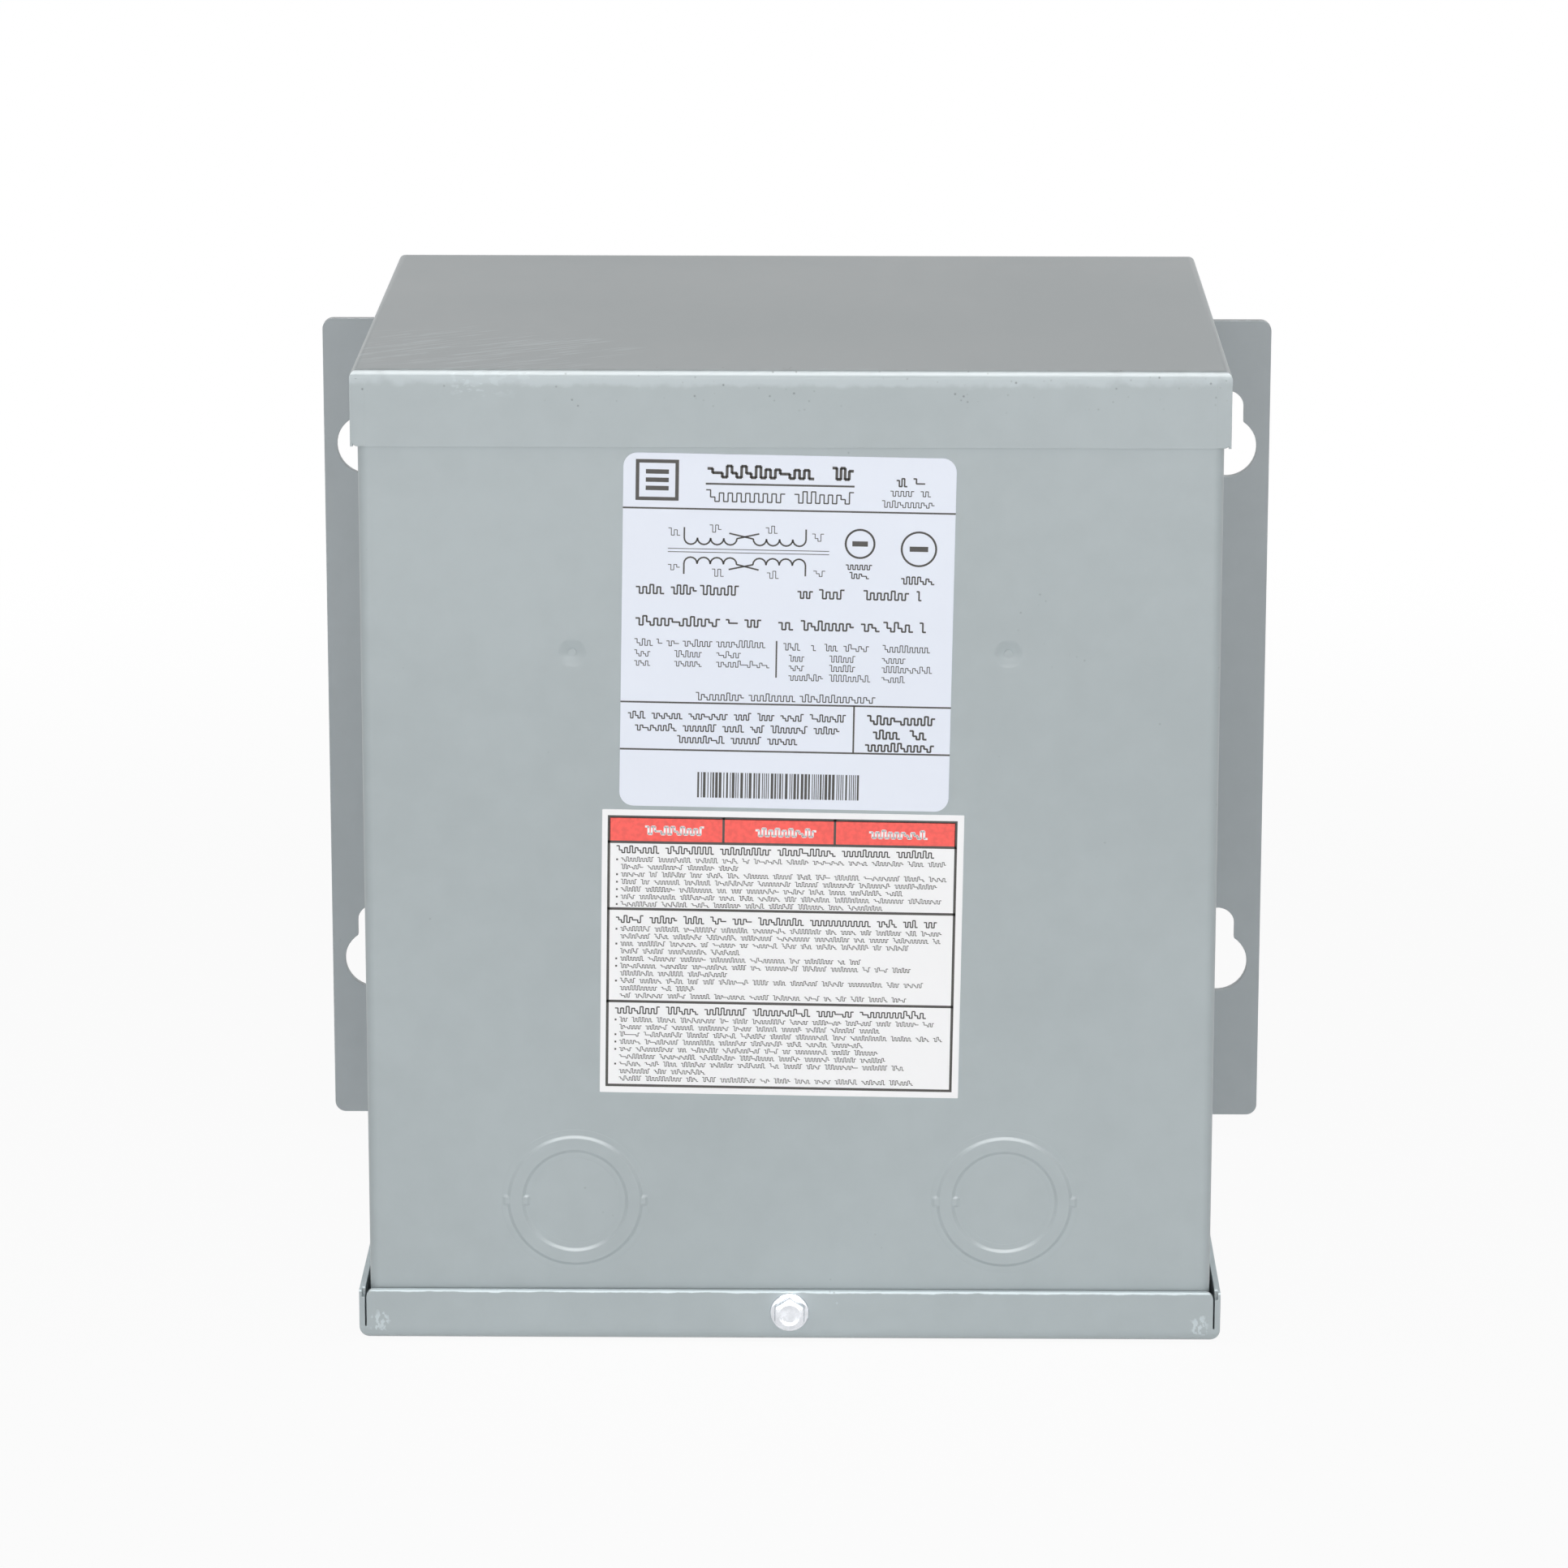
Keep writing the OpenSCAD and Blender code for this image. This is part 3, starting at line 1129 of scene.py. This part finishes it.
@dataclass
class Label:
    """A thin card on the case front with printed layers on it."""

    node: str
    slot: str
    width: float
    height: float
    corner: float
    tilt: float
    ink_rise: float = 0.012 * MM

    def to_case(self, right: float, down: float, depth: float) -> Vector:
        """Turns a place on the card into the part's frame.

        Args:
            right: Distance from the card's left edge.
            down: Distance from its upper edge.
            depth: Y of the point.

        Returns:
            The point in the part's frame.
        """
        middle = centre_of(self.node)
        flat = Vector((right - self.width / 2, 0.0, self.height / 2 - down))
        turned = Matrix.Rotation(math.radians(self.tilt), 3, "Y") @ flat
        return Vector((middle.x + turned.x, depth, middle.z + turned.z))

    def card_outline(self) -> Outline:
        """The card's outline with its round corners, in metres from its upper left corner."""
        r, w, h = max(self.corner, 0.05 * MM), self.width, self.height
        points: Outline = []
        for centre, start in (((w - r, r), -90), ((w - r, h - r), 0), ((r, h - r), 90), ((r, r), 180)):
            points += arc(centre, r, start, start + 90)
        return points

    def build_card(self, finish: Finish) -> Piece:
        """Builds the card itself.

        Args:
            finish: Its stock.

        Returns:
            The piece, fixed to the frame.
        """
        low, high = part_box(self.node)
        work = bmesh.new()
        lift = 0.04 * MM
        rings = []
        for inset, depth in ((0.0, high.y), (0.0, low.y + lift), (lift, low.y)):
            shrink = [1 - 2 * inset / self.width, 1 - 2 * inset / self.height]
            middle = (self.width / 2, self.height / 2)
            ring = []
            for point in self.card_outline():
                right, down = (middle[k] + (point[k] - middle[k]) * shrink[k] for k in range(2))
                ring.append(work.verts.new(self.to_case(right, down, depth)))
            rings.append(ring)
        bridge(work, rings)
        work.faces.new(rings[0])
        work.faces.new(rings[-1])
        name = self.node + "_card"
        return seat(link_piece(name, close_mesh(work, name), finish), self.slot, self.node)

    def build_print(self, layer: Print, slot: str, finish: Finish, level: int = 1) -> Piece:
        """Builds a printed layer on the card.

        Args:
            layer: The shapes to print.
            slot: The record's slot for the ink.
            finish: The ink.
            level: 1 for a layer on the card, 2 for one on another layer.

        Returns:
            The piece, fixed to the frame.
        """
        low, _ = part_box(self.node)
        front = low.y - level * self.ink_rise
        work = bmesh.new()
        for shape in layer.shapes:
            rings = []
            for depth in (low.y, front):
                points = [self.to_case(right * MM, down * MM, depth) for right, down in shape]
                rings.append([work.verts.new(point) for point in points])
            bridge(work, rings)
            work.faces.new(rings[-1])
        return seat(link_piece(layer.name, close_mesh(work, layer.name), finish), slot)


@dataclass
class Nameplate(Label):
    """The upper label: ruled fields, a coil diagram and rows of blank words."""

    node: str = "nameplate"
    slot: str = "nameplate_card"
    width: float = 69.4 * MM
    height: float = 75.8 * MM
    corner: float = 3.0 * MM
    tilt: float = 1.0
    rule: float = 0.36

    def rules(self, layer: Print) -> None:
        """Draws the fields' rules."""
        wide = self.width / MM
        layer.block(0.0, 11.55, wide, self.rule)
        layer.block(0.0, 53.1, wide, self.rule)
        layer.block(0.0, 63.3, wide, self.rule)
        layer.block(48.9, 53.1, self.rule, 10.3)
        layer.block(32.4, 39.6, self.rule * 0.9, 7.9)

    def header(self, layer: Print) -> None:
        """Draws a plain framed square, a title row and small rows beside it."""
        layer.frame(2.6, 1.4, 9.0, 8.7, 0.75)
        for index in range(3):
            layer.block(4.7, 3.5 + 1.75 * index, 4.8, 0.95)
        layer.words(2.2, 3.0, [(17.3, 40.0), (43.3, 48.2)], 0.2)
        layer.block(17.2, 6.15, 31.0, self.rule * 1.1)
        layer.words(7.5, 2.7, [(17.2, 33.9), (35.6, 48.2)], 0.1)
        layer.words(4.3, 2.0, [(56.8, 59.3), (60.3, 63.0)], 0.16)
        layer.words(6.7, 1.6, [(55.6, 60.7), (61.9, 64.2)], 0.12)
        layer.words(9.1, 1.6, [(53.9, 65.0)], 0.12)

    def coils(self, layer: Print, top: float, side: int) -> None:
        """Draws one row of winding loops with its crossed links.

        Args:
            layer: The layer to draw on.
            top: The middle of the row.
            side: 1 for loops that hang down, -1 for loops that stand up.
        """
        pitch, line = 2.75, 0.34
        first, second = 12.9, 27.3
        for start in (first, second):
            for index in range(4):
                centre = (start + pitch * (index + 0.5), top)
                layer.stroke(arc(centre, pitch / 2, 0, side * 180, 8), line)
        for x in (first, second + 4 * pitch):
            layer.stroke([(x, top), (x, top - side * 2.2)], line)
        left, right = first + 4 * pitch, second
        layer.stroke([(left, top), (right + 1.2, top - side * 1.1)], line)
        layer.stroke([(right, top), (left - 1.6, top - side * 1.1)], line)

    def diagram(self, layer: Print) -> None:
        """Draws the coil diagram, two plain rings and the short words around them."""
        self.coils(layer, 17.9, 1)
        self.coils(layer, 23.4, -1)
        layer.block(9.5, 20.15, 33.7, 0.16)
        layer.block(9.5, 20.85, 33.7, 0.16)
        for left, top in ((9.5, 15.8), (18.1, 15.0), (29.8, 15.0), (39.5, 16.5)):
            layer.words(top, 1.7, [(left, left + 2.6)], 0.1)
        for left, top in ((9.5, 23.2), (18.7, 24.4), (30.2, 24.6), (39.9, 24.0)):
            layer.words(top, 1.7, [(left, left + 2.6)], 0.1)
        for centre, radius in (((49.6, 18.5), 3.0), ((61.9, 19.4), 3.6)):
            layer.ring(centre, radius, 0.42)
            layer.stroke([(centre[0] - radius * 0.5, centre[1]), (centre[0] + radius * 0.5, centre[1])], 1.1)
        layer.words(22.6, 1.5, [(46.6, 52.3)], 0.16)
        layer.words(24.5, 1.5, [(47.4, 51.7)], 0.16)
        layer.words(25.2, 1.8, [(58.2, 65.4)], 0.16)

    def rows(self, layer: Print) -> None:
        """Draws the rows of blank words and the small table."""
        layer.words(27.9, 2.2, [(2.8, 9.0), (10.1, 15.8), (16.2, 24.6)], 0.15)
        layer.words(28.3, 2.2, [(36.6, 40.1), (41.1, 46.7), (50.4, 60.2), (61.5, 62.8)], 0.15)
        layer.words(34.6, 2.3, [(2.8, 20.8), (21.7, 24.5), (25.6, 29.4)], 0.15)
        layer.words(35.0, 2.3, [(32.7, 36.1), (37.4, 48.8), (50.0, 54.2), (54.7, 61.2), (62.3, 63.9)], 0.15)
        layer.words(39.6, 1.6, [(2.7, 6.7), (7.3, 8.7), (9.4, 12.2), (12.8, 19.2), (19.8, 30.3)], 0.12)
        layer.words(40.0, 1.6, [(33.9, 37.6), (39.7, 40.9), (42.5, 45.5), (46.5, 52.0), (54.7, 64.8)], 0.12)
        for top, end in ((42.0, 25.2), (44.0, 31.2)):
            layer.words(top, 1.5, [(2.7, 6.2), (11.1, 17.0), (19.9, end)], 0.12)
        right_table = ((42.5, 38.5, 49.2, 59.7), (44.5, 38.5, 49.2, 65.3), (46.6, 42.5, 52.4, 59.7))
        for top, first, second, third in right_table:
            layer.words(top, 1.5, [(35.1, first), (43.6, second), (54.6, third)], 0.12)
        layer.words(50.9, 1.8, [(15.7, 26.0), (26.8, 36.8), (37.5, 53.6)], 0.12)

    def feet(self, layer: Print) -> None:
        """Draws the two fields at the foot and the block of plain bars below them."""
        layer.line_of_words(1.5, 47.5, 55.2, 1.7, 0.15)
        layer.line_of_words(3.0, 46.2, 57.8, 1.7, 0.15)
        layer.line_of_words(11.9, 37.4, 60.3, 1.7, 0.15)
        layer.words(55.1, 2.2, [(51.7, 66.3)], 0.17)
        layer.words(58.2, 2.2, [(53.0, 59.0), (60.7, 64.6)], 0.17)
        layer.words(61.0, 2.1, [(51.4, 66.2)], 0.17)
        cursor = 16.4
        while cursor < 50.6:
            width = layer.random.choice((0.2, 0.2, 0.38, 0.55))
            layer.block(cursor, 68.2, width, 5.5)
            cursor += width + layer.random.choice((0.22, 0.22, 0.4))

    def build(self, stock: Finish, ink: Finish) -> None:
        """Builds the card and its print.

        Args:
            stock: The card's finish.
            ink: The print's finish.
        """
        self.build_card(stock)
        layer = Print("nameplate_print", 11)
        for draw in (self.rules, self.header, self.diagram, self.rows, self.feet):
            draw(layer)
        self.build_print(layer, "label_ink", ink)


@dataclass
class WiringCard(Label):
    """The lower label: a ruled frame, a plain red band and three blocks of blank lines."""

    node: str = "wiring_label"
    slot: str = "wiring_card"
    width: float = 76.4 * MM
    height: float = 62.2 * MM
    corner: float = 0.2 * MM
    tilt: float = 0.85
    line: float = 0.56
    pitch: float = 1.63

    def ruling(self, layer: Print) -> None:
        """Draws the frame, the band's edges and the two rules."""
        edge, head, wide = 1.2, 1.25, 73.8
        layer.frame(edge, head, wide, 59.6, self.line)
        layer.block(edge, 6.75, wide, self.line)
        for left in (25.4, 48.9):
            layer.block(left, head, 0.5, 5.6)
        for top in (21.35, 41.7):
            layer.block(edge, top, wide, self.line)

    def band(self, layer: Print) -> None:
        """Fills the three cells of the band."""
        for left, right in ((1.62, 25.4), (25.9, 48.9), (49.4, 74.58)):
            layer.block(left, 1.67, right - left, 5.08)

    def blank_headings(self, layer: Print) -> None:
        """Lays one plain word in each cell of the band."""
        for left, right in ((8.9, 21.7), (32.2, 45.4), (56.2, 68.9)):
            layer.words(3.35, 2.1, [(left, right)], 0.22)

    def headings(self, layer: Print) -> None:
        """Draws the heading line of each block."""
        for top, right in ((7.75, 70.3), (23.0, 71.2), (43.0, 69.3)):
            layer.line_of_words(3.0, right, top, 1.75, 0.15)

    def blocks(self, layer: Print) -> None:
        """Draws the blank lines of the three blocks, with a dot where an item starts."""
        indent = 4.0
        items = (
            (10.2, ((68.8, 1), (25.0, 0), (69.0, 1), (67.0, 1), (59.8, 1), (68.0, 1), (55.6, 1))),
            (25.4, ((68.2, 1), (68.0, 0), (61.3, 1), (25.5, 0), (51.2, 1), (61.8, 1), (22.9, 0), (64.5, 1),
                    (16.0, 0), (61.0, 0))),
            (45.4, ((67.0, 1), (55.5, 0), (68.8, 1), (52.0, 1), (55.2, 1), (56.8, 0), (60.8, 1), (18.5, 0),
                    (62.8, 0))),
        )
        for top, lines in items:
            for index, (length, dotted) in enumerate(lines):
                row = top + index * self.pitch
                layer.line_of_words(indent, indent + length, row, 1.12, 0.14)
                if dotted:
                    layer.block(indent - 0.95, row + 0.45, 0.4, 0.4)

    def build(
        self, stock: Finish, ink: Finish, faint: Finish,
        red: Finish, blank: Finish,
    ) -> None:
        """Builds the card and its print.

        Args:
            stock: The card's finish.
            ink: The black ink of rules and headings.
            faint: The ink of the small lines.
            red: The band's ink.
            blank: The light marks on the band.
        """
        self.build_card(stock)
        colour = Print("wiring_band", 3)
        self.band(colour)
        self.build_print(colour, "band_ink", red)
        light = Print("wiring_band_marks", 4)
        self.blank_headings(light)
        self.build_print(light, "wiring_card", blank, 2)
        dark = Print("wiring_rules", 5)
        self.ruling(dark)
        self.headings(dark)
        self.build_print(dark, "label_ink", ink)
        small = Print("wiring_lines", 6)
        self.blocks(small)
        self.build_print(small, "label_ink", faint)


# ---------------------------------------------------------------------------------------------
# Studio


@dataclass(frozen=True)
class Softbox:
    """A rectangular studio lamp."""

    name: str
    at: Triple
    size: tuple[float, float]
    watts: float
    gloss_only: bool = False

    def build(self, target: Vector) -> None:
        """Hangs the lamp and points it; a lamp for gloss alone gives the folds their highlight.

        Args:
            target: The point it faces.
        """
        lamp = bpy.data.lights.new(self.name, "AREA")
        lamp.shape = "RECTANGLE"
        lamp.size, lamp.size_y = self.size
        lamp.energy = self.watts
        holder = bpy.data.objects.new(self.name, lamp)
        holder.location = target + Vector(self.at)
        holder.rotation_euler = (target - holder.location).to_track_quat("-Z", "Y").to_euler()
        holder.visible_diffuse = not self.gloss_only
        bpy.context.scene.collection.objects.link(holder)


@dataclass
class Studio:
    """The camera, the pale floor and the soft light."""

    lens: float = 145.34
    distance: float = 1333.5 * MM
    pitch: float = 13.95
    yaw: float = -0.585
    roll: float = 0.047
    aim_side: float = -1.3 * MM
    aim_height: float = 123.03 * MM
    sky: float = 0.345
    near_glow: float = 0.93

    def build_camera(self) -> None:
        """Places the camera in front of the case, looking a little down at it."""
        low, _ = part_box("case_wrap")
        aim = Vector((self.aim_side, low.y, self.aim_height))
        pitch, yaw = math.radians(self.pitch), math.radians(self.yaw)
        forward = Vector((math.sin(yaw) * math.cos(pitch), math.cos(yaw) * math.cos(pitch), -math.sin(pitch)))
        lens = bpy.data.cameras.new("studio_camera")
        lens.lens = self.lens
        lens.sensor_width = 36.0
        lens.clip_end = 50.0
        holder = bpy.data.objects.new("studio_camera", lens)
        holder.location = aim - forward * self.distance
        turn = forward.to_track_quat("-Z", "Y").to_matrix() @ Matrix.Rotation(math.radians(self.roll), 3, "Z")
        holder.rotation_euler = turn.to_euler()
        bpy.context.scene.collection.objects.link(holder)
        bpy.context.scene.camera = holder

    def seen(self, graph: Graph, rays: bpy.types.Node) -> Socket:
        """Finds the rays that show the white room: from the camera, or on through gloss or glass.

        Args:
            graph: The graph to add to.
            rays: Its Light Path node.

        Returns:
            1 for those rays and 0 for the rest.
        """
        seen = graph.math("MAXIMUM", rays.outputs["Is Camera Ray"], rays.outputs["Is Glossy Ray"])
        return graph.math("MAXIMUM", seen, rays.outputs["Is Transmission Ray"])

    def build_floor(self) -> None:
        """Lays a pale floor whose far parts read as white, and that keeps the object's shadow."""
        reach = 30.0
        work = bmesh.new()
        for x, y in ((-1, -1), (1, -1), (1, 1), (-1, 1)):
            work.verts.new((x * reach, y * reach, 0.0))
        work.faces.new(work.verts)
        mesh = bpy.data.meshes.new("floor")
        work.to_mesh(mesh)
        work.free()
        material = bpy.data.materials.new("floor")
        material.use_nodes = True
        graph = Graph(material.node_tree)
        shader = graph.tree.nodes["Principled BSDF"]
        shader.inputs["Base Color"].default_value = (0.86, 0.86, 0.86, 1.0)
        shader.inputs["Roughness"].default_value = 0.9
        glow = graph.add("Emission", {"Color": (1.0, 1.0, 1.0, 1.0), "Strength": 1.0})
        rays = graph.add("LightPath")
        seen = self.seen(graph, rays)
        offset = graph.add("VectorMath", {0: graph.place()}, operation="LENGTH").outputs["Value"]
        far = graph.math("MULTIPLY", graph.ramp(offset, 0.3, 0.8), 1.0 - self.near_glow)
        share = graph.math("MULTIPLY", seen, graph.math("ADD", far, self.near_glow))
        blend = graph.add("MixShader", {0: share, 1: shader.outputs[0], 2: glow.outputs[0]})
        output = graph.tree.nodes["Material Output"]
        graph.tree.links.new(blend.outputs[0], output.inputs["Surface"])
        floor = link_piece("floor", mesh, material)
        floor.location.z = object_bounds()[0].z - 0.05 * MM
        floor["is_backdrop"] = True

    def build_sky(self) -> None:
        """Lights the room evenly and shows white to the camera."""
        world = bpy.data.worlds.new("studio")
        bpy.context.scene.world = world
        world.use_nodes = True
        graph = Graph(world.node_tree)
        backdrop = graph.tree.nodes["Background"]
        rays = graph.add("LightPath")
        extra = graph.math("MULTIPLY", self.seen(graph, rays), 1.0 - self.sky)
        graph.tree.links.new(graph.math("ADD", extra, self.sky), backdrop.inputs["Strength"])
        backdrop.inputs["Color"].default_value = (1.0, 1.0, 1.0, 1.0)

    def build_lamps(self) -> None:
        """Hangs the softboxes."""
        target = centre_of("case_wrap")
        lamps = (
            Softbox("key_softbox", (0.0, -2.2, 0.2), (1.7, 0.9), 21.5),
            Softbox("left_softbox", (-1.7, -1.5, 0.3), (0.9, 1.2), 7.8),
            Softbox("right_softbox", (1.7, -1.5, 0.3), (0.9, 1.2), 7.8),
            Softbox("overhead_panel", (0.0, -0.62, 1.65), (2.4, 1.7), 113.0, gloss_only=True),
        )
        for lamp in lamps:
            lamp.build(target)

    def build(self) -> None:
        """Builds the whole studio."""
        self.build_camera()
        self.build_floor()
        self.build_sky()
        self.build_lamps()
        bpy.context.scene.view_settings.view_transform = "Standard"


def lid_finish() -> MarkedSteel:
    """Sets the top cover's finish: scuffs near its front left corner and a painted highlight along the front
    fold.
    """
    low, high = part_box("top_cover")
    return MarkedSteel(
        "lid_paint_coat",
        Coat.CASE,
        scuff_centre=(low.x + 27 * MM, low.y + 24 * MM, high.z),
        scuff_half=(34 * MM, 30 * MM, 8 * MM),
        scuff_turn=(0.0, 0.0, math.radians(33)),
        # The painted highlight runs along the whole front fold, just under the top.
        fold_highlight_centre=(0.0, low.y + 0.7 * MM, high.z - 1.4 * MM),
        fold_highlight_half=(150 * MM, 2.4 * MM, 2.4 * MM),
    )


def tray_finish() -> PaleEdgeSteel:
    """Sets the bottom cover's finish: a pale upper edge and chips at its two front corners."""
    low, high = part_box("bottom_cover")
    side = high.x - 4.5 * MM
    chips = tuple((x, low.y, low.z + 4 * MM) for x in (-side, side))
    return PaleEdgeSteel("tray_paint_coat", Coat.CASE, level=high.z, chips=chips)


def build_steel() -> None:
    """Builds the case, the plate, the covers and the knockouts in their paint."""
    paint = CoatedSteel("case_paint_coat", Coat.CASE).build()
    plate_paint = CoatedSteel("plate_paint_coat", Coat.PLATE).build()
    lid_paint = lid_finish().build()
    SteelPiece("case_wrap", "case_paint").build(paint)
    SteelPiece("mounting_plate", "plate_paint", 0.35 * MM).build(plate_paint)
    SteelPiece("top_cover", "case_paint").build(lid_paint)
    for side in (-1, 1):
        FlangeLap(side).build(lid_paint)
    SteelPiece("bottom_cover", "case_paint").build(tray_finish().build())
    for side in ("left", "right"):
        Knockout(side).build(paint)


def build_labels() -> None:
    """Builds the two labels with their stock and inks."""
    black = PrintInk("black_ink", Ink.BLACK).build()
    Nameplate().build(CardStock("nameplate_stock", (0.77, 0.81, 0.90)).build(), black)
    WiringCard().build(
        CardStock("wiring_stock", (0.90, 0.90, 0.91)).build(),
        black,
        PrintInk("small_ink", Ink.FAINT).build(),
        PrintInk("band_ink_coat", Ink.RED).build(),
        PrintInk("band_mark_ink", Ink.BLANK).build(),
    )


def main() -> None:
    """Builds the effects, the steel work, the screw, the labels, the core and the studio in order."""
    logging.basicConfig(level=logging.INFO, format="%(message)s")
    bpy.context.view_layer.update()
    for build in (
        build_coat_effect, build_patch_effect, build_streak_effect, build_speck_effect, build_edge_effect,
        build_grain_effect, build_steel,
    ):
        build()
    HexWasherScrew().build(ZincPlate().build())
    build_labels()
    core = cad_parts["potted_core"]
    core.data.materials.clear()
    core.data.materials.append(CastResin().build())
    Studio().build()


if __name__ == "__main__":
    main()
